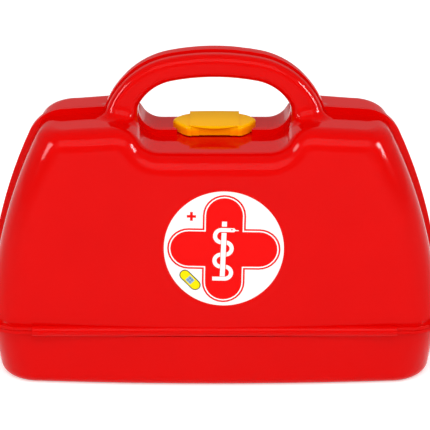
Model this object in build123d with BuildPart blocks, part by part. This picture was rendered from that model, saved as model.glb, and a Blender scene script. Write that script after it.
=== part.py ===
"""Toy doctor case: a base tray, two swing-out half shells with a handle half each, and a latch.

Millimetres, +Z up, front towards -Y. The origin is on the table, under the middle of the case,
in the plane where the two half shells meet.
"""
import os
from math import asin, cos, degrees, radians, sin, sqrt, tan

from build123d import *

os.makedirs("parts", exist_ok=True)

# Moulding practice, shared by the three red mouldings
wall = 1.9                    # plastic thickness
parting_gap = 0.3             # air between the two half shells, and between shells and tray
corner_radius = 20.0          # upright corners of the case, seen from above
bow_radius = 1500.0           # front and rear faces bulge this gently, seen from above

# Tray
tray_height = 37.2            # table to seam
tray_base_half_width = 126.9
tray_base_half_depth = 45.4
tray_edge_radius = 6.4        # rounded bottom edge
tray_floor = 2.2
bottom_corner_radius = 25.0   # upright corners of the tray at the table

# Half shells
seam_half_width = 131.0
seam_half_depth = 47.9        # parting plane to the middle of the front face
front_lean = 4.2              # degrees the front face leans back
side_lean = 4.0               # degrees the side wall leans in at the seam
side_arc_radius = 290.0       # and the arc it then follows upwards
seat_rise = 103.5             # seam to the flat saddle under the latch
shoulder_rise = 14.4          # saddle to the top face beside the handle
top_slope = 3.7               # degrees the top face falls away to the sides
top_edge_radius = 11.5        # rounding between top and front
shoulder_radius = 20.0        # rounding of the rim at the shoulders
saddle_run_radius = 15.0      # rounding at the upper ends of the saddle

# Rims where the mouldings meet
rim_proud = 3.6               # upright rim, beyond the wall
rim_thickness = 1.75          # of each half's rim
seam_flange_proud = 3.2
seam_flange_thickness = 2.0

# Handle
gap_height = 37.6             # hand gap, saddle to the underside of the grip
gap_crown_radius = 125.0
gap_crown_half_width = 24.0
gap_shoulder_radius = 27.7
gap_shoulder_slope = 59.0     # degrees, where the shoulder arc turns into the leg
gap_elbow_radius = 9.5
gap_corner_radius = 13.0      # saddle into leg
grip_thickness = 13.3
grip_crown_radius = 133.0
grip_crown_half_width = 26.0
grip_shoulder_radius = 48.0
leg_slope = 67.7              # degrees, outer line of the legs
grip_half_depth = 12.5
grip_edge_radius = 5.0
gap_edge_radius = 4.0
foot_radius = 8.0             # hollow rounding of the legs into the top face
grip_rim_proud = 1.0
rim_corner_radius = 13.0      # rim over the saddle into the leg

# Hinge: a roll on each shell snaps round a bead on the tray
hinge_setback = 1.4           # middle of the front face to the hinge axis
hinge_half_length = 105.0
roll_radius = 3.1
bead_radius = 1.8
bead_clearance = 0.1
roll_clearance = 0.25
web_thickness = 1.0
web_angle = -20.0             # degrees from level, bead to tray
swing = 95.0                  # degrees each shell opens
mouth_margin = 4.0            # degrees left each side of the web at the ends of the swing
hinge_end_gap = 0.3
ledge_depth = 5.0
ledge_height = 5.6

# Latch
latch_front = 4.5             # parting plane to the latch's front
latch_rear = 21.0
latch_tip_half_width = 24.3   # before the tips are rounded
latch_flat_half_width = 15.2  # of the straight front
latch_rear_half_width = 14.5  # of the nearly straight rear
latch_front_bulge = 1.1       # the wings' front edges, beyond straight
latch_rear_bulge = 1.6        # and their rear edges
latch_tip_depth = 9.6         # parting plane to the tips
latch_rear_corner = 20.4      # parting plane to the rear corners of the flat
latch_tip_radius = 4.0
latch_corner_radius = 5.0
latch_edge_radius = 1.5
latch_lift = 0.6              # air under the latch
latch_margin = 0.4            # relief under the latch, round its outline
latch_height = 5.5
plate_half_width = 14.4
plate_step = 1.0
plate_lip = 1.4               # lip beyond the latch's front
plate_thickness = 1.5         # at the middle of the lip
plate_lip_end = 0.5           # thickness of the lip at its ends
latch_wall = 1.6
front_wall = 2.8
recess_half_width = 13.2
recess_depth = 0.8
pull_half_width = 8.9
pull_depth = 1.5
front_notch_half_width = 21.5  # the rims stop here, clear of the latch
rear_notch_half_width = 22.5

# Latch hinge and catch
latch_axis_depth = 18.2       # parting plane to the latch's pin
latch_axis_rise = 3.1         # saddle to the latch's pin
pin_radius = 1.0
pin_clearance = 0.1
knuckle_radius = 2.1
knuckle_half_width = 4.8
ear_length = 4.0
stub_length = 2.2               # of each pin, inside the knuckle
knuckle_gap = 0.25
rear_undercut = 1.6           # rear skirt of the latch, lifted so that it clears the saddle
seat_relief = 1.5             # step down in the front shell's saddle, under the latch
seat_pad = 2.2                # plastic left under that step
catch_inner = 10.2            # middle of the case to the catches' inner ends
catch_outer = 13.4
catch_thickness = 1.2
catch_setback = 0.35          # parting plane to the catch
catch_height = 5.2
barb_depth = 0.6
barb_height = 0.8
catch_clearance = 0.15

# Label
label_radius = 34.0
label_thickness = 0.3
label_offset = 5.3            # right of the middle of the case
label_rise = 50.5             # seam to the label's middle

# Levels and lines that follow from the sizes above
seam_z = tray_height
saddle_z = seam_z + seat_rise
catch_foot_z = saddle_z - seat_relief
catch_top_z = catch_foot_z + catch_height
web_length = roll_radius + roll_clearance + 1.0
latch_z = saddle_z + latch_lift
latch_axis_z = saddle_z + latch_axis_rise
gap_top_z = saddle_z + gap_height
grip_top_z = gap_top_z + grip_thickness
case_depth_limit = 2 * seam_half_depth
hinge_axis_depth = seam_half_depth - hinge_setback
flange_half_width = seam_half_width + seam_flange_proud
half_gap = parting_gap / 2
overrun = 5.0                 # cutting shapes run this far past what they cut


def lean_at(z):
    """Angle of the side wall from upright, in radians, at height z."""
    return asin(sin(radians(side_lean)) + (z - seam_z) / side_arc_radius)


def half_width_at(z, inset):
    """Half the width of the shell at height z, with its wall moved in by inset."""
    lean = lean_at(z)
    outer = seam_half_width - side_arc_radius * (cos(radians(side_lean)) - cos(lean))
    return outer - inset / cos(lean)


def half_depth_at(z, inset):
    """Parting plane to the middle of the front face at height z."""
    outer = seam_half_depth - (z - seam_z) * tan(radians(front_lean))
    return outer - inset / cos(radians(front_lean))


def half_plan(half_width, half_depth, radius):
    """Outline of one half of the case seen from above, run past the parting plane."""
    corner_depth = half_depth - bow_radius + sqrt(bow_radius**2 - half_width**2)
    with BuildLine() as line:
        Polyline((-half_width, -corner_depth), (-half_width, overrun),
                 (half_width, overrun), (half_width, -corner_depth))
        ThreePointArc((half_width, -corner_depth), (0, -half_depth), (-half_width, -corner_depth))
    face = make_face(line.edges())
    fillet(face.vertices().group_by(Axis.Y)[0], radius)


def full_plan(half_width, half_depth, radius):
    """Outline of the whole case seen from above."""
    corner_depth = half_depth - bow_radius + sqrt(bow_radius**2 - half_width**2)
    with BuildLine() as line:
        ThreePointArc((half_width, -corner_depth), (0, -half_depth), (-half_width, -corner_depth))
        Line((-half_width, -corner_depth), (-half_width, corner_depth))
        ThreePointArc((-half_width, corner_depth), (0, half_depth), (half_width, corner_depth))
        Line((half_width, corner_depth), (half_width, -corner_depth))
    face = make_face(line.edges())
    fillet(face.vertices(), radius)


def top_outline(inset):
    """Front view of the case's top: sloping top faces with the saddle sunk between them."""
    low = saddle_z - inset
    concave = gap_corner_radius + inset
    convex = saddle_run_radius - inset
    slope = radians(top_slope)
    # The two arcs of the saddle's end, one hollow and one round, meet at this angle
    rise = shoulder_rise
    turn = radians(60)
    for _ in range(30):
        turn -= ((concave + convex) * (1 - cos(turn)) - convex * (1 - cos(slope)) - rise) / (
            (concave + convex) * sin(turn))
    flat = floor_half_width()
    meet = (flat + concave * sin(turn), low + concave * (1 - cos(turn)))
    crest = (meet[0] + convex * (sin(turn) + sin(slope)), low + rise)
    far = seam_half_width + overrun
    with BuildLine() as line:
        floor = Line((0, low), (flat, low))
        hollow = JernArc(start=floor @ 1, tangent=floor % 1, radius=concave, arc_size=degrees(turn))
        bulge = JernArc(start=hollow @ 1, tangent=hollow % 1, radius=convex,
                        arc_size=-degrees(turn) - top_slope)
        end = bulge @ 1
        side = (far, end.Y - (far - end.X) * tan(slope))
        Polyline(end, side, (far, seam_z - overrun), (0, seam_z - overrun))
        mirror(about=Plane.YZ)
    make_face(line.edges())


def floor_half_width():
    """Half the length of the saddle's flat floor: the hand gap's side, less its corner."""
    crown_end = degrees(asin(gap_crown_half_width / gap_crown_radius))
    side = gap_crown_half_width
    side += gap_shoulder_radius * (sin(radians(gap_shoulder_slope)) - sin(radians(crown_end)))
    side += gap_elbow_radius * (1 - sin(radians(gap_shoulder_slope)))
    return side - gap_corner_radius


def hand_gap(floor_z, corner):
    """Front view of the hand gap between grip and legs, down to floor_z."""
    crown_turn = degrees(asin(gap_crown_half_width / gap_crown_radius))
    with BuildLine() as line:
        crown = CenterArc((0, gap_top_z - gap_crown_radius), gap_crown_radius, 90, -crown_turn)
        shoulder = JernArc(start=crown @ 1, tangent=crown % 1, radius=gap_shoulder_radius,
                           arc_size=crown_turn - gap_shoulder_slope)
        elbow = JernArc(start=shoulder @ 1, tangent=shoulder % 1, radius=gap_elbow_radius,
                        arc_size=gap_shoulder_slope - 90)
        leg = Line(elbow @ 1, ((elbow @ 1).X, floor_z + corner))
        bend = JernArc(start=leg @ 1, tangent=leg % 1, radius=corner, arc_size=-90)
        Line(bend @ 1, (0, floor_z))
        mirror(about=Plane.YZ)
    make_face(line.edges())


def grip_outline():
    """Front view of the handle's outside, its legs run down into the case."""
    crown_turn = degrees(asin(grip_crown_half_width / grip_crown_radius))
    root_z = saddle_z + overrun
    with BuildLine() as line:
        crown = CenterArc((0, grip_top_z - grip_crown_radius), grip_crown_radius, 90, -crown_turn)
        shoulder = JernArc(start=crown @ 1, tangent=crown % 1, radius=grip_shoulder_radius,
                           arc_size=crown_turn - leg_slope)
        knee = shoulder @ 1
        foot = (knee.X + (knee.Y - root_z) / tan(radians(leg_slope)), root_z)
        Polyline(knee, foot, (0, root_z))
        mirror(about=Plane.YZ)
    make_face(line.edges())


def shell_form(inset):
    """Half of the case without its handle, as a solid block with its faces moved in by inset."""
    low = seam_z - overrun
    steps = 5
    with BuildPart() as form:
        for step in range(steps):
            z = low + (gap_top_z + overrun - low) * step / (steps - 1)
            with BuildSketch(Plane.XY.offset(z)):
                half_plan(half_width_at(z, inset), half_depth_at(z, inset), corner_radius - inset)
        loft()
        with BuildSketch(Plane.XZ.offset(-overrun)):
            top_outline(inset)
        extrude(amount=case_depth_limit, mode=Mode.INTERSECT)
    return form


def body_face(proud):
    """Front view of the case's sides and top faces, rounded at the shoulders, grown by proud."""
    corner_z = saddle_z
    for _ in range(20):
        corner_z = top_face_z(half_width_at(corner_z, 0))
    corner = (half_width_at(corner_z, 0), corner_z)
    middle_z = (seam_z + corner_z) / 2
    low = half_width_at(seam_z - overrun, 0)
    seam = (half_width_at(seam_z, 0), seam_z)
    with BuildLine() as line:
        Polyline((0, seam_z - overrun), (low, seam_z - overrun), seam)
        ThreePointArc(seam, (half_width_at(middle_z, 0), middle_z), corner)
        Polyline(corner, (0, top_face_z(0)))
        mirror(about=Plane.YZ)
    face = make_face(line.edges())
    shoulders = face.vertices().filter_by(lambda v: abs(v.Y - corner_z) < 0.01 and abs(v.X) > 1)
    fillet(shoulders, shoulder_radius)
    offset(amount=proud)


def top_face_z(x):
    """Height of the sloping top face at x, right of the saddle."""
    run = floor_half_width() + 28
    return saddle_z + shoulder_rise + (run - x) * tan(radians(top_slope))


def shell_block(inset):
    """Half of the case with its top edge rounded, run past the parting plane and the seam."""
    with BuildPart() as block:
        add(shell_form(inset))
        top_edges = edges().filter_by(lambda e: e.center().Z > saddle_z - inset - 0.1)
        top_edges = top_edges.filter_by(lambda e: e.geom_type != GeomType.LINE)
        top_edges = top_edges.filter_by(lambda e: e.center().Y < overrun - 0.1)
        fillet(top_edges, top_edge_radius - inset)
    return block


def grip_block(inset):
    """Handle half with its outer and inner edges rounded."""
    depth = grip_half_depth - inset
    middle_z = gap_top_z + grip_thickness / 2
    with BuildPart() as block:
        with BuildSketch(Plane.XZ.offset(-overrun)):
            grip_outline()
            if inset:
                offset(amount=-inset)
        extrude(amount=overrun + depth)
        outer = edges().filter_by(lambda e: e.center().Y < -depth + 0.01)
        fillet(outer.filter_by(lambda e: e.center().Z > saddle_z + overrun + inset + 1),
               grip_edge_radius - inset)
        with BuildSketch(Plane.XZ.offset(-overrun)):
            hand_gap(saddle_z, gap_corner_radius)
            if inset:
                offset(amount=inset)
        extrude(amount=case_depth_limit, mode=Mode.SUBTRACT)
        inner = edges().filter_by(lambda e: e.center().Y < -depth + 0.01)
        inner = inner.filter_by(lambda e: abs(e.center().X) < floor_half_width() + gap_corner_radius + inset + 0.1)
        fillet(inner.filter_by(lambda e: e.center().Z > saddle_z + 6 and e.center().Z < middle_z),
               gap_edge_radius - inset)
    return block


def roll_sketch(radius, bore, start, end):
    """Side view of a ring round the front hinge axis, open from end round to start (degrees)."""
    reach = 3 * radius
    with Locations((-hinge_axis_depth, seam_z)):
        Circle(radius)
        if bore:
            Circle(bore, mode=Mode.SUBTRACT)
    mouth = 360 + start - end
    corners = [(-hinge_axis_depth + reach * cos(radians(end + mouth * step / 4)),
                seam_z + reach * sin(radians(end + mouth * step / 4))) for step in range(5)]
    with BuildLine() as line:
        Polyline((-hinge_axis_depth, seam_z), *corners, (-hinge_axis_depth, seam_z))
    make_face(line.edges(), mode=Mode.SUBTRACT)


def latch_plan(grow):
    """The latch seen from above, grown by grow."""
    front_left, front_right = (-latch_flat_half_width, -latch_front), (latch_flat_half_width, -latch_front)
    tip_left, tip_right = (-latch_tip_half_width, latch_tip_depth), (latch_tip_half_width, latch_tip_depth)
    rear_left, rear_right = (-latch_rear_half_width, latch_rear_corner), (latch_rear_half_width, latch_rear_corner)
    with BuildLine() as line:
        Line(front_left, front_right)
        SagittaArc(front_right, tip_right, -latch_front_bulge)
        SagittaArc(tip_right, rear_right, -latch_rear_bulge)
        ThreePointArc(rear_right, (0, latch_rear), rear_left)
        SagittaArc(rear_left, tip_left, -latch_rear_bulge)
        SagittaArc(tip_left, front_left, -latch_front_bulge)
    face = make_face(line.edges())
    fillet(face.vertices().filter_by(lambda v: abs(v.X) > latch_tip_half_width - 0.1), latch_tip_radius)
    blunt = vertices().filter_by(lambda v: abs(abs(v.X) - latch_flat_half_width) < 0.01
                                 or abs(abs(v.X) - latch_rear_half_width) < 0.01)
    fillet(blunt, latch_corner_radius)
    if grow:
        offset(amount=grow)
        Rectangle(3 * latch_tip_half_width, 4 * latch_rear, align=(Align.MIN, Align.CENTER), mode=Mode.INTERSECT)
        mirror(about=Plane.YZ)


def half_shell():
    """Front half shell with its handle half, rim, flange and hinge roll, hollowed from inside."""
    with BuildPart() as shell:
        add(shell_block(0))
        add(grip_block(0))
        feet = edges(Select.NEW).filter_by(lambda e: abs(e.center().X) > gap_half_width())
        feet = feet.filter_by(lambda e: e.center().Y > -grip_half_depth - 0.1 and e.center().Z > saddle_z + 8)
        fillet(feet, foot_radius)
        # Upright rim, standing clear of the hand gap
        with BuildSketch(Plane.XZ):
            body_face(rim_proud)
        extrude(amount=half_gap + rim_thickness)
        with BuildSketch(Plane.XZ):
            grip_outline()
            offset(amount=grip_rim_proud)
        extrude(amount=half_gap + rim_thickness)
        with BuildSketch(Plane.XZ.offset(-overrun)):
            hand_gap(saddle_z + rim_proud, rim_corner_radius)
        extrude(amount=overrun + half_gap + rim_thickness, mode=Mode.SUBTRACT)
        # Flange round the seam, kept inboard of the hinge axis
        with BuildSketch(Plane.XY.offset(seam_z)):
            half_plan(flange_half_width, seam_half_depth + seam_flange_proud,
                      corner_radius + seam_flange_proud)
            with Locations((0, -hinge_axis_depth)):
                Rectangle(4 * seam_half_width, 4 * overrun, align=(Align.CENTER, Align.MAX), mode=Mode.SUBTRACT)
        extrude(amount=half_gap + seam_flange_thickness)
        # Hollow
        add(shell_block(wall), mode=Mode.SUBTRACT)
        add(grip_block(wall), mode=Mode.SUBTRACT)
        # Air at the seam and at the parting plane
        with BuildSketch(Plane.XY.offset(seam_z + half_gap)):
            Rectangle(4 * seam_half_width, 4 * seam_half_width)
        extrude(amount=-4 * overrun, mode=Mode.SUBTRACT)
        with BuildSketch(Plane.XZ.offset(half_gap)):
            Rectangle(4 * seam_half_width, 8 * seam_half_width)
        extrude(amount=-4 * overrun, mode=Mode.SUBTRACT)
        # Hinge roll, then its bore
        with BuildSketch(Plane.YZ):
            roll_sketch(roll_radius, 0, roll_start, roll_end)
        extrude(amount=hinge_half_length, both=True)
        with BuildSketch(Plane.YZ):
            with Locations((-hinge_axis_depth, seam_z)):
                Circle(bead_radius + bead_clearance)
        extrude(amount=hinge_half_length + hinge_end_gap, both=True, mode=Mode.SUBTRACT)
    return shell.part


def gap_half_width():
    """Half the width of the hand gap between its legs."""
    return floor_half_width() + gap_corner_radius


# Angles of the hinge's open roll, from level inboard, turning the way the shell opens
web_half_angle = degrees(asin(web_thickness / 2 / (bead_radius + bead_clearance)))
roll_start = web_angle + web_half_angle + mouth_margin
roll_end = 360 + web_angle - web_half_angle - mouth_margin - swing

plain_shell = half_shell()

# Front shell: the plain half, stepped down under the latch
with BuildPart() as front_shell:
    add(plain_shell)
    with BuildSketch(Plane.XY.offset(saddle_z - seat_relief - seat_pad)):
        with Locations((0, -half_gap)):
            Rectangle(2 * latch_tip_half_width, latch_front + 3, align=(Align.CENTER, Align.MAX))
    extrude(amount=seat_pad)
    with BuildSketch(Plane.XY.offset(saddle_z - seat_relief)):
        latch_plan(latch_margin)
    extrude(amount=seat_relief + overrun, mode=Mode.SUBTRACT)
    with BuildSketch(Plane.XY.offset(saddle_z)):
        Rectangle(2 * front_notch_half_width, 2 * (half_gap + rim_thickness))
    extrude(amount=overrun, mode=Mode.SUBTRACT)
front_shell.part.label = "front_shell"

# Rear shell: the plain half turned round, with the knuckle that carries the latch
with BuildPart() as rear_shell:
    add(mirror(plain_shell, about=Plane.XZ, mode=Mode.PRIVATE))
    with BuildSketch(Plane.XY.offset(saddle_z)):
        Rectangle(2 * rear_notch_half_width, 2 * (half_gap + rim_thickness))
    extrude(amount=overrun, mode=Mode.SUBTRACT)
    with BuildSketch(Plane.YZ):
        with Locations((latch_axis_depth, latch_axis_z)):
            Circle(knuckle_radius)
        with Locations((latch_axis_depth, saddle_z - 1)):
            Rectangle(2 * knuckle_radius, latch_axis_rise + 1, align=(Align.CENTER, Align.MIN))
        with Locations((latch_axis_depth, latch_axis_z)):
            Circle(pin_radius + pin_clearance, mode=Mode.SUBTRACT)
    extrude(amount=knuckle_half_width, both=True)
rear_shell.part.label = "rear_shell"

# Latch
with BuildPart() as latch:
    roof_z = saddle_z + latch_axis_rise + knuckle_radius + 0.3
    top_z = latch_z + latch_height
    with BuildSketch(Plane.XY.offset(latch_z)):
        latch_plan(0)
    extrude(amount=latch_height)
    wing_edges = edges().filter_by(lambda e: e.center().Z > top_z - 0.01)
    fillet(wing_edges, latch_edge_radius)
    # Raised plate across the middle, bowed out over the finger pull
    with BuildSketch(Plane.XY.offset(top_z + plate_step - plate_thickness)):
        latch_plan(0)
        Rectangle(2 * plate_half_width, 4 * latch_rear, mode=Mode.INTERSECT)
        with BuildLine():
            ThreePointArc((-recess_half_width, -latch_front), (0, -latch_front - plate_lip),
                          (recess_half_width, -latch_front))
            Line((recess_half_width, -latch_front), (-recess_half_width, -latch_front))
        make_face()
    extrude(amount=plate_thickness)
    # Hollow underneath, deeper below the plate and with a thicker front wall
    with BuildSketch(Plane.XY.offset(latch_z)):
        latch_plan(-latch_wall)
        with Locations((0, front_wall - latch_front)):
            Rectangle(3 * latch_tip_half_width, latch_wall, align=(Align.CENTER, Align.MAX), mode=Mode.SUBTRACT)
    extrude(amount=latch_height - latch_wall, mode=Mode.SUBTRACT)
    with BuildSketch(Plane.XY.offset(latch_z)):
        latch_plan(-latch_wall)
        with Locations((0, front_wall - latch_front)):
            Rectangle(2 * plate_half_width - 2 * latch_wall, latch_rear, align=(Align.CENTER, Align.MIN),
                      mode=Mode.INTERSECT)
    extrude(amount=roof_z - latch_z, mode=Mode.SUBTRACT)
    # Rear skirt lifted off the saddle, and cut away where it passes the knuckle
    with Locations((0, latch_axis_depth, latch_z)):
        Box(2 * latch_tip_half_width, overrun, rear_undercut, align=(Align.CENTER, Align.MIN, Align.MIN),
            mode=Mode.SUBTRACT)
        Box(2 * (knuckle_half_width + knuckle_gap), overrun, roof_z - latch_z,
            align=(Align.CENTER, Align.MIN, Align.MIN), mode=Mode.SUBTRACT)
    # Stepped finger pull in the front wall, arched under the lip, and the grooves the catches snap into
    plate_top = top_z + plate_step
    for half_width, depth in ((recess_half_width, recess_depth), (pull_half_width, pull_depth)):
        with BuildSketch(Plane.XZ.offset(latch_front + overrun)):
            with BuildLine():
                ThreePointArc((-recess_half_width, plate_top - plate_lip_end), (0, plate_top - plate_thickness),
                              (recess_half_width, plate_top - plate_lip_end))
                Polyline((recess_half_width, plate_top - plate_lip_end), (recess_half_width, latch_z),
                         (-recess_half_width, latch_z), (-recess_half_width, plate_top - plate_lip_end))
            make_face()
            Rectangle(2 * half_width, 4 * plate_top, mode=Mode.INTERSECT)
        extrude(amount=-overrun - depth, mode=Mode.SUBTRACT)
    groove_low = catch_top_z - barb_height - catch_clearance
    for side in (-1, 1):
        with Locations((side * (catch_inner + catch_outer) / 2, front_wall - latch_front, groove_low)):
            Box(catch_outer - catch_inner + 4 * catch_clearance, 2 * (barb_depth + catch_clearance),
                latch_z + latch_height - latch_wall - groove_low,
                align=(Align.CENTER, Align.CENTER, Align.MIN), mode=Mode.SUBTRACT)
    # Ears with the pins that turn in the knuckle
    ear_middle = knuckle_half_width + knuckle_gap + ear_length / 2
    for side in (-1, 1):
        with BuildSketch(Plane.YZ.offset(side * ear_middle)):
            with Locations((latch_axis_depth, latch_axis_z)):
                Circle(knuckle_radius)
                Rectangle(2 * knuckle_radius, roof_z - latch_axis_z + 0.5, align=(Align.CENTER, Align.MIN))
        extrude(amount=ear_length / 2, both=True)
        with BuildSketch(Plane.YZ.offset(side * (knuckle_half_width - stub_length))):
            with Locations((latch_axis_depth, latch_axis_z)):
                Circle(pin_radius)
        extrude(amount=side * (stub_length + knuckle_gap + 1))
latch.part.label = "latch"

# Catches: two sprung lips on the front shell that hold the latch shut
catches = []
for name, side in (("catch_left", -1), ("catch_right", 1)):
    with BuildPart() as catch:
        with BuildSketch(Plane.YZ.offset(side * (catch_inner + catch_outer) / 2)):
            with BuildLine() as line:
                Polyline((-catch_setback, catch_foot_z), (-catch_setback, catch_top_z),
                         (-catch_setback - catch_thickness, catch_top_z),
                         (-catch_setback - catch_thickness - barb_depth, catch_top_z - barb_height / 2),
                         (-catch_setback - catch_thickness - barb_depth, catch_top_z - barb_height),
                         (-catch_setback - catch_thickness, catch_top_z - barb_height),
                         (-catch_setback - catch_thickness, catch_foot_z), (-catch_setback, catch_foot_z))
            make_face(line.edges())
        extrude(amount=(catch_outer - catch_inner) / 2, both=True)
    catch.part.label = name
    catches.append(catch)

# Printed label on the front
with BuildPart() as label:
    add(shell_form(-label_thickness))
    add(shell_form(0), mode=Mode.SUBTRACT)
    with BuildSketch(Plane.XZ):
        with Locations((label_offset, seam_z + label_rise)):
            Circle(label_radius)
    extrude(amount=case_depth_limit, mode=Mode.INTERSECT)
label.part.label = "label"

# Base tray
with BuildPart() as tray:
    base_inner = bottom_corner_radius - wall
    with BuildSketch(Plane.XY):
        full_plan(tray_base_half_width, tray_base_half_depth, bottom_corner_radius)
    with BuildSketch(Plane.XY.offset(tray_height)):
        full_plan(seam_half_width, seam_half_depth, corner_radius)
    loft()
    fillet(faces().sort_by(Axis.Z)[0].edges(), tray_edge_radius)
    with BuildSketch(Plane.XY.offset(tray_height - half_gap - seam_flange_thickness)):
        full_plan(flange_half_width, seam_half_depth + seam_flange_proud, corner_radius + seam_flange_proud)
        Rectangle(4 * seam_half_width, 2 * hinge_axis_depth, mode=Mode.INTERSECT)
    extrude(amount=half_gap + seam_flange_thickness)
    # Hollow
    with BuildPart(mode=Mode.PRIVATE) as hollow:
        with BuildSketch(Plane.XY.offset(tray_floor)):
            full_plan(tray_base_half_width - wall, tray_base_half_depth - wall, base_inner)
        with BuildSketch(Plane.XY.offset(tray_height)):
            full_plan(seam_half_width - wall, seam_half_depth - wall, corner_radius - wall)
        loft()
        fillet(faces().sort_by(Axis.Z)[0].edges(), tray_edge_radius - wall)
    add(hollow.part, mode=Mode.SUBTRACT)
    # Straight rails inside the long walls, relieved round the hinge rolls
    for side in (-1, 1):
        with BuildSketch(Plane.YZ):
            with Locations((side * hinge_axis_depth, seam_z - ledge_height)):
                Rectangle(ledge_depth, ledge_height, align=(Align.MAX if side > 0 else Align.MIN, Align.MIN))
        extrude(amount=hinge_half_length + hinge_end_gap, both=True)
        with BuildSketch(Plane.YZ):
            with Locations((side * hinge_axis_depth, seam_z)):
                Circle(roll_radius + roll_clearance)
        extrude(amount=hinge_half_length + hinge_end_gap, both=True, mode=Mode.SUBTRACT)
    # Air at the seam, then the beads on their webs
    with BuildSketch(Plane.XY.offset(tray_height - half_gap)):
        Rectangle(4 * seam_half_width, 4 * seam_half_width)
    extrude(amount=overrun, mode=Mode.SUBTRACT)
    for side in (-1, 1):
        with BuildSketch(Plane.YZ):
            with Locations((side * hinge_axis_depth, seam_z)):
                Circle(bead_radius)
            with Locations(Location((side * hinge_axis_depth, seam_z), -side * web_angle if side < 0 else 180 - web_angle)):
                Rectangle(web_length, web_thickness, align=(Align.MIN, Align.CENTER))
        extrude(amount=hinge_half_length, both=True)
tray.part.label = "tray"

for node in [tray, front_shell, rear_shell, latch, label] + catches:
    print(node.part.label, node.part.is_valid, round(node.part.volume), len(node.part.solids()))
    export_step(node.part, f"parts/{node.part.label}.step")
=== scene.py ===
"""Looks of a toy doctor case: moulded plastics, the printed label and a plain pale studio."""
import math

import bpy
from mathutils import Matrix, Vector


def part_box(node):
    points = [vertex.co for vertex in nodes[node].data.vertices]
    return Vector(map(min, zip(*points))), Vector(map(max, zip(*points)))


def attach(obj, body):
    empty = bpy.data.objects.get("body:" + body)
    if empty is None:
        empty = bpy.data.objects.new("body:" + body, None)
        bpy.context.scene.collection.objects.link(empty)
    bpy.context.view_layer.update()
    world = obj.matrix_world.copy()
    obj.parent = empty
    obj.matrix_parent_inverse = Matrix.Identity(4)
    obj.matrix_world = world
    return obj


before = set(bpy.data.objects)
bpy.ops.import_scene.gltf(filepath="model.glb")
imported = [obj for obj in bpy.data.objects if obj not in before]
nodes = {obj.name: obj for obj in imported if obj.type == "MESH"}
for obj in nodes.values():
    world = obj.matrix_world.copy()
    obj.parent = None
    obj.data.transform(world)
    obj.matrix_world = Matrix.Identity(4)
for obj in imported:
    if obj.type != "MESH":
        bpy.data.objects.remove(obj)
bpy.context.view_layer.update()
bpy.ops.object.select_all(action="DESELECT")


# Base tray, half shells and catches: injection-moulded ABS in one signal red. The moulds are
# polished, so the skin is glossy with a clear sheen, and it is a little uneven where the
# plastic shrank over thick spots, which bends the reflections by a hair.
MM = 0.001
DRIFT_WIDTH = 36 * MM         # of the faint changes of colour that the flow of the melt leaves
SINK_WIDTH = 12.5 * MM        # of the shrinkage ripple, from crest to crest
SINK_DEPTH = 1 * MM           # at full strength, of which each plastic takes a small share
PLASTIC_IOR = 1.53


def linear(code):
    """Linear red, green, blue and alpha of an sRGB hex colour."""
    values = [int(code[i:i + 2], 16) / 255 for i in (0, 2, 4)]
    return [v / 12.92 if v < 0.04045 else ((v + 0.055) / 1.055) ** 2.4 for v in values] + [1]


def add_node(tree, kind, links=None, values=None, **settings):
    """A new node with its settings, and the links and values of its sockets by name or number."""
    node = tree.nodes.new(kind)
    for name, value in settings.items():
        setattr(node, name, value)
    for socket, value in (values or {}).items():
        node.inputs[socket].default_value = value
    for socket, source in (links or {}).items():
        tree.links.new(source, node.inputs[socket])
    return node


def moulded_plastic(name, colour, deep_colour, roughness, specular, ripple):
    material = bpy.data.materials.new(name)
    material.use_nodes = True
    tree = material.node_tree
    shader = tree.nodes["Principled BSDF"]
    place = add_node(tree, "ShaderNodeTexCoord").outputs["Object"]
    drift = add_node(tree, "ShaderNodeTexNoise", {"Vector": place}, {"Scale": 1 / DRIFT_WIDTH, "Detail": 2})
    tone = add_node(tree, "ShaderNodeMixRGB", {"Fac": drift.outputs[0]},
                    {"Color1": linear(colour), "Color2": linear(deep_colour)})
    tree.links.new(tone.outputs[0], shader.inputs["Base Color"])
    sink = add_node(tree, "ShaderNodeTexNoise", {"Vector": place}, {"Scale": 1 / SINK_WIDTH, "Detail": 1})
    bump = add_node(tree, "ShaderNodeBump", {"Height": sink.outputs[0]},
                    {"Strength": ripple, "Distance": SINK_DEPTH})
    tree.links.new(bump.outputs[0], shader.inputs["Normal"])
    shader.inputs["Roughness"].default_value = roughness
    shader.inputs["IOR"].default_value = PLASTIC_IOR
    shader.inputs["Specular IOR Level"].default_value = specular
    return material


def dress(obj, material):
    obj.data.materials.clear()
    obj.data.materials.append(material)


red_abs = moulded_plastic("moulded red ABS", "DC0301", "D40201", roughness=0.08, specular=0.06, ripple=0.05)
for name in ("tray", "front_shell", "rear_shell", "catch_left", "catch_right"):
    dress(nodes[name], red_abs)


# Latch: moulded polypropylene in a warm yellow, softer in its gloss than the red. It rides on
# the rear shell's knuckle. Its skirt below the top is painted a deeper orange. This is painted
# shade on the front faces, which get less light than the top, tinted by red light from the shell.
SKIRT_SHADE_START = 146.6 * MM        # the painted shade on the skirt begins here
SKIRT_SHADE_FULL = 143.6 * MM       # and the painted shade is full here

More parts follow.
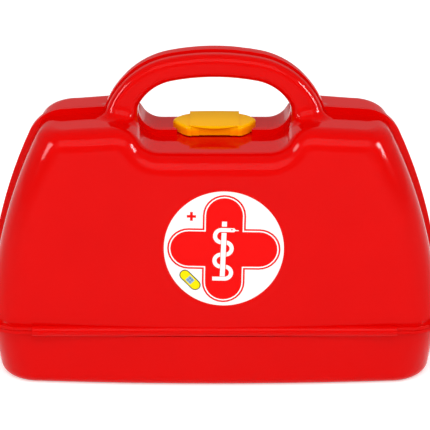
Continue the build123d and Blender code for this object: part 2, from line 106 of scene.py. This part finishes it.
yellow_pp = moulded_plastic("moulded yellow polypropylene", "FFCC00", "FFC400",
                            roughness=0.2, specular=0.02, ripple=0.03)
tree = yellow_pp.node_tree
latch_colour = tree.nodes["Principled BSDF"].inputs["Base Color"]
top_colour = latch_colour.links[0].from_socket
# Painted shade: from the skirt's top down, the colour turns to a deeper orange
place = add_node(tree, "ShaderNodeTexCoord").outputs["Object"]
height = add_node(tree, "ShaderNodeSeparateXYZ", {"Vector": place}).outputs["Z"]
skirt_shade = add_node(tree, "ShaderNodeMapRange", {"Value": height},
                 {"From Min": SKIRT_SHADE_START, "From Max": SKIRT_SHADE_FULL})
shaded_skirt = add_node(tree, "ShaderNodeMixRGB", {"Fac": skirt_shade.outputs[0], "Color1": top_colour},
                  {"Color2": linear("FF9800")})
tree.links.new(shaded_skirt.outputs[0], latch_colour)
dress(nodes["latch"], yellow_pp)


# Label: a round white vinyl sticker with a satin laminate, printed in red, yellow, blue and
# black. The printed shapes are thin sheets that follow the label's bowed front. Their sizes are
# in millimetres from the label's middle.
label = nodes["label"]
low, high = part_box("label")
LABEL_X = (low.x + high.x) / 2
LABEL_Z = (low.z + high.z) / 2
LEAN = math.radians(4.2)      # of the front face, so the artwork keeps its height along it
TURN = math.radians(-1.0)     # the sticker sits a degree askew
STRIP = 4                     # width of the strips that let a print bend with the face
STRIPS_PER_SIDE = 8
STAND_OFF = 10 * MM           # of a print from the face before it is pressed on
FIRST_FILM = 0.02             # from the face to the lowest print
FILM = 0.04                   # from one print to the next above it
WELD = 0.01 * MM              # corners closer than this are merged
SATIN_ROUGHNESS = 0.3
SATIN_SPECULAR = 0.08


def ink(name, colour):
    material = bpy.data.materials.new(name)
    material.use_nodes = True
    shader = material.node_tree.nodes["Principled BSDF"]
    shader.inputs["Base Color"].default_value = linear(colour)
    shader.inputs["Roughness"].default_value = SATIN_ROUGHNESS
    shader.inputs["Specular IOR Level"].default_value = SATIN_SPECULAR
    return material


white_vinyl = ink("white vinyl sticker", "F6F5F3")
red_ink = ink("red printing ink", "EA0604")
yellow_ink = ink("yellow printing ink", "F8E400")
pale_ink = ink("pale red halftone print", "F08A80")
blue_ink = ink("blue printing ink", "2B3F94")
black_ink = ink("black printing ink", "17131A")
steel_ink = ink("pale blue halftone print", "8FB0CC")
dress(label, white_vinyl)


def printed(name, outlines, material, layer):
    """Flat shapes laid on the label's face as one sheet. An outline inside another is a hole, and
    a higher layer lies on the lower ones."""
    curve = bpy.data.curves.new(name, "CURVE")
    curve.dimensions = "2D"
    curve.fill_mode = "BOTH"
    for outline in outlines:
        spline = curve.splines.new("POLY")
        spline.points.add(len(outline) - 1)
        for point, (x, y) in zip(spline.points, outline):
            point.co = (x * MM, y * MM, 0, 1)
        spline.use_cyclic_u = True
    flat = bpy.data.objects.new(name + " flat", curve)
    bpy.context.scene.collection.objects.link(flat)
    bpy.context.view_layer.update()
    mesh = bpy.data.meshes.new_from_object(flat.evaluated_get(bpy.context.evaluated_depsgraph_get()))
    bpy.data.objects.remove(flat)
    sheet = bpy.data.objects.new(name, mesh)
    bpy.context.scene.collection.objects.link(sheet)
    bpy.ops.object.select_all(action="DESELECT")
    bpy.context.view_layer.objects.active = sheet
    sheet.select_set(True)
    # Cut into strips so that it can bend with the face
    bpy.ops.object.mode_set(mode="EDIT")
    for step in range(-STRIPS_PER_SIDE, STRIPS_PER_SIDE + 1):
        bpy.ops.mesh.select_all(action="SELECT")
        bpy.ops.mesh.bisect(plane_co=(step * STRIP * MM, 0, 0), plane_no=(1, 0, 0))
    bpy.ops.object.mode_set(mode="OBJECT")
    # Stand it up in front of the face and press it on
    for vertex in mesh.vertices:
        x, y = vertex.co.x, vertex.co.y
        across = x * math.cos(TURN) - y * math.sin(TURN)
        up = x * math.sin(TURN) + y * math.cos(TURN)
        vertex.co = (LABEL_X + across, low.y - STAND_OFF, LABEL_Z + up * math.cos(LEAN))
    press = sheet.modifiers.new("press on", "SHRINKWRAP")
    press.target = label
    press.wrap_method = "PROJECT"
    press.use_project_x = press.use_project_z = False
    press.use_project_y = True
    press.use_negative_direction = press.use_positive_direction = True
    press.offset = (FIRST_FILM + FILM * layer) * MM
    bpy.ops.object.modifier_apply(modifier="press on")
    bpy.ops.object.mode_set(mode="EDIT")
    bpy.ops.mesh.select_all(action="SELECT")
    bpy.ops.mesh.remove_doubles(threshold=WELD)
    bpy.ops.mesh.normals_make_consistent(inside=False)
    bpy.ops.object.mode_set(mode="OBJECT")
    dress(sheet, material)
    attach(sheet, "front")


# Cross: printed in red straight on the vinyl, with full-round arms. A fine white line runs just
# inside its edge, drawn as a sheet of its own on top of the red.
CROSS_REACH = 32.1
ARM_HALF_WIDTH = 12.15
LINE_INSET = 1.0
LINE_WIDTH = 0.75


def rounded_cross(inset, steps=14):
    """Outline of the cross, drawn in by the inset all round."""
    half_width = ARM_HALF_WIDTH - inset
    reach = CROSS_REACH - inset - half_width
    arm_end = []
    for step in range(steps + 1):
        angle = math.radians(-90 + 180 * step / steps)
        arm_end.append((reach + half_width * math.cos(angle), half_width * math.sin(angle)))
    points = []
    for turn in range(4):
        c, s = round(math.cos(turn * math.pi / 2)), round(math.sin(turn * math.pi / 2))
        corner = (half_width, half_width)
        points += [(x * c - y * s, x * s + y * c) for x, y in arm_end + [corner]]
    return points


printed("printed_cross", [rounded_cross(0)], red_ink, 0)
printed("printed_inline", [rounded_cross(LINE_INSET), rounded_cross(LINE_INSET + LINE_WIDTH)], white_vinyl, 1)


# Staff and serpent: printed white on the cross. The serpent winds down in half circles, behind
# the staff except for its neck, and a pale edge parts the two where the staff is in front.
SNOUT = (5.2, 11.4)
CROSSINGS = (11.5, 4.1, -3.3, -10.5, -17.8)     # heights at which the serpent crosses the staff
BOWS = (-1.4, 0.7, -1.6, 0.7)                   # middles of its half circles, left and right in turn
TAIL = (-6.3, CROSSINGS[-1])
SERPENT_WIDTH = 2.35
TONGUE = [(6.2, 11.3), (8.0, 11.2)]
TONGUE_WIDTH = 0.5
EYE = [(4.1, 11.7), (4.5, 11.7)]
EYE_WIDTH = 0.7
STAFF_TOP = [(0.1, 16.45), (0.05, 13.5)]
STAFF = [(-0.05, 9.8), (-0.6, -16.35)]
STAFF_WIDTH = 2.8
EDGE_WIDTH = 0.8                                # of both pale edges together
EDGE_REACH = 1.3                                # above and below a crossing
EDGE_LEAN_TOP, EDGE_LEAN_FOOT = -0.01, -0.02    # sideways for each millimetre down the staff


def band(path, width, round_start=True, round_end=True, cap_steps=10):
    """Outline of a band of even width along the path's points."""
    points = [Vector(point) for point in path]
    last = len(points) - 1
    left, right = [], []
    for i, point in enumerate(points):
        along = (points[min(i + 1, last)] - points[max(i - 1, 0)]).normalized()
        side = Vector((-along.y, along.x)) * width / 2
        left.append(point + side)
        right.append(point - side)

    def cap(centre, first):
        arm = first - centre
        turns = [-math.pi * k / cap_steps for k in range(1, cap_steps)]
        return [centre + Vector((arm.x * math.cos(a) - arm.y * math.sin(a),
                                 arm.x * math.sin(a) + arm.y * math.cos(a))) for a in turns]

    outline = left + (cap(points[-1], left[-1]) if round_end else [])
    outline += right[::-1] + (cap(points[0], right[0]) if round_start else [])
    return [tuple(point) for point in outline]


def half_turn(centre_x, top, bottom, side, steps=16):
    """Points of a half circle from top to bottom, bulging to side (-1 left, 1 right)."""
    radius, middle = (top - bottom) / 2, (top + bottom) / 2
    angles = [math.pi * k / steps for k in range(steps + 1)]
    return [(centre_x + side * radius * math.sin(a), middle + radius * math.cos(a)) for a in angles]


def staff_edge(crossing):
    """Outline of the pale edge at a crossing, which leans with the staff."""
    down = STAFF[0][1] - crossing
    top = (EDGE_LEAN_TOP * down, crossing + EDGE_REACH)
    foot = (EDGE_LEAN_FOOT * down, crossing - EDGE_REACH)
    return band([top, foot], STAFF_WIDTH + EDGE_WIDTH, False, False)


serpent = [SNOUT]
for i, bow in enumerate(BOWS):
    serpent += half_turn(bow, CROSSINGS[i], CROSSINGS[i + 1], -1 if i % 2 == 0 else 1)
serpent.append(TAIL)
printed("printed_serpent", [band(serpent, SERPENT_WIDTH, round_end=False)], white_vinyl, 1)
printed("printed_tongue", [band(TONGUE, TONGUE_WIDTH)], white_vinyl, 1)
printed("printed_eye", [band(EYE, EYE_WIDTH)], red_ink, 2)
printed("printed_staff_gaps", [staff_edge(crossing) for crossing in CROSSINGS[1:-1]], pale_ink, 2)
printed("printed_staff_top", [band(STAFF_TOP, STAFF_WIDTH, False, False)], white_vinyl, 1)
printed("printed_staff", [band(STAFF, STAFF_WIDTH, False, False)], white_vinyl, 3)


# Plus: a small sign printed in the red of the cross. It stands in the white corner at the
# upper left.
PLUS_X, PLUS_Y = -18.6, 19.2
PLUS_REACH = 2.6
PLUS_HALF_WIDTH = 0.3 * PLUS_REACH


def plus(x, y, reach, half):
    corners = ((-reach, -half), (-half, -half), (-half, -reach), (half, -reach), (half, -half),
               (reach, -half), (reach, half), (half, half), (half, reach), (-half, reach),
               (-half, half), (-reach, half))
    return [(x + across, y + up) for across, up in corners]


printed("printed_plus", [plus(PLUS_X, PLUS_Y, PLUS_REACH, PLUS_HALF_WIDTH)], red_ink, 0)


# Sticking plaster: a small picture printed in yellow with a black rim, across the white corner
# at the lower left. Its pad is pale blue, with four air holes.
PLASTER = Vector((-18.9, -18.9))
PLASTER_ALONG = Vector((1, -1)).normalized()
PLASTER_ACROSS = Vector((1, 1)).normalized()
PLASTER_HALF_LENGTH = 4.2     # without its rounded ends
PLASTER_WIDTH = 5.2
RIM_WIDTH = 0.5
PAD_HALF_LENGTH = 2
PAD_WIDTH = 3.8
HOLE_REACH = 0.8
HOLE_RADIUS = 0.35


def plaster_strip(half_length, width, rounded):
    return band([PLASTER - PLASTER_ALONG * half_length, PLASTER + PLASTER_ALONG * half_length],
                width, rounded, rounded)


def disc(centre, radius, steps=48):
    angles = [2 * math.pi * k / steps for k in range(steps)]
    return [(centre.x + radius * math.cos(a), centre.y + radius * math.sin(a)) for a in angles]


holes = [PLASTER + PLASTER_ALONG * x + PLASTER_ACROSS * y
         for x in (-HOLE_REACH, HOLE_REACH) for y in (-HOLE_REACH, HOLE_REACH)]
printed("printed_plaster_rim", [plaster_strip(PLASTER_HALF_LENGTH, PLASTER_WIDTH + 2 * RIM_WIDTH, True)],
        black_ink, 1)
printed("printed_plaster", [plaster_strip(PLASTER_HALF_LENGTH, PLASTER_WIDTH, True)], yellow_ink, 2)
printed("printed_plaster_pad", [plaster_strip(PAD_HALF_LENGTH, PAD_WIDTH, False)], steel_ink, 3)
printed("printed_plaster_holes", [disc(hole, HOLE_RADIUS) for hole in holes], blue_ink, 4)


# Studio: a white paper floor that runs out of the picture, soft light from above and the sides,
# and two narrow side lamps that leave their streaks on the rounded shoulders.
FLOOR_SIZE = 12
PAPER_GLOW = 0.4
ROOM_GREY = 0.56

bpy.ops.mesh.primitive_plane_add(size=FLOOR_SIZE, location=(0, 0, 0))
floor = bpy.context.object
floor.name = "studio_floor"
paper = bpy.data.materials.new("white paper floor")
paper.use_nodes = True
tree = paper.node_tree
paper_shader = tree.nodes["Principled BSDF"]
paper_shader.inputs["Base Color"].default_value = linear("FFFFFF")
paper_shader.inputs["Roughness"].default_value = 0.9
paper_shader.inputs["Specular IOR Level"].default_value = 0
# The paper glows only where it is seen, by the camera or in a reflection, so that it shows
# white there. The glow lights no other surface, and the object's shadow stays on the paper.
rays = add_node(tree, "ShaderNodeLightPath").outputs
seen = add_node(tree, "ShaderNodeMath", {0: rays["Is Camera Ray"], 1: rays["Is Glossy Ray"]},
                operation="MAXIMUM")
seen = add_node(tree, "ShaderNodeMath", {0: seen.outputs[0], 1: rays["Is Transmission Ray"]},
                operation="MAXIMUM")
lift = add_node(tree, "ShaderNodeMath", {0: seen.outputs[0]}, {1: PAPER_GLOW}, operation="MULTIPLY")
glow = add_node(tree, "ShaderNodeEmission", {"Strength": lift.outputs[0]})
both = add_node(tree, "ShaderNodeAddShader", {0: paper_shader.outputs[0], 1: glow.outputs[0]})
tree.links.new(both.outputs[0], tree.nodes["Material Output"].inputs[0])
dress(floor, paper)

world = bpy.data.worlds.new("studio room")
bpy.context.scene.world = world
world.use_nodes = True
world.node_tree.nodes["Background"].inputs[0].default_value = (ROOM_GREY, ROOM_GREY, ROOM_GREY, 1)

LAMP_AIM = Vector((0, 0, 0.1))


def soft_lamp(name, place, size, watts):
    lamp = bpy.data.lights.new(name, "AREA")
    lamp.shape = "RECTANGLE"
    lamp.size, lamp.size_y = size
    lamp.energy = watts
    obj = bpy.data.objects.new(name, lamp)
    bpy.context.scene.collection.objects.link(obj)
    obj.location = place
    obj.rotation_euler = (LAMP_AIM - Vector(place)).to_track_quat("-Z", "Y").to_euler()


soft_lamp("overhead_lamp", place=(0, -0.95, 1.1), size=(1.6, 0.9), watts=12)
soft_lamp("left_lamp", place=(-0.9, -0.9, 0.8), size=(0.6, 0.8), watts=0.9)
soft_lamp("right_lamp", place=(0.9, -0.9, 0.8), size=(0.6, 0.8), watts=1.1)
# The narrow lamps show only in the gloss and light no surface
for name, side, watts in (("left_glance", -1, 18), ("right_glance", 1, 40)):
    soft_lamp(name, place=(side * 1.05, -0.42, 0.5), size=(0.3, 0.5), watts=watts)
    bpy.data.objects[name].visible_diffuse = False


# Camera: a long lens a metre away, which looks down on the labelled front. The case fills the
# frame from side to side.
TARGET = Vector((0.0003, 0, 0.0902))
DISTANCE = 1.0
ELEVATION = math.radians(22.5)
camera = bpy.data.objects.new("camera", bpy.data.cameras.new("camera"))
bpy.context.scene.collection.objects.link(camera)
camera.location = TARGET + DISTANCE * Vector((0, -math.cos(ELEVATION), math.sin(ELEVATION)))
camera.rotation_euler = (math.radians(90) - ELEVATION, 0, 0)
camera.data.sensor_width = 36
camera.data.lens = 142
bpy.context.scene.camera = camera
bpy.context.scene.view_settings.view_transform = "Standard"
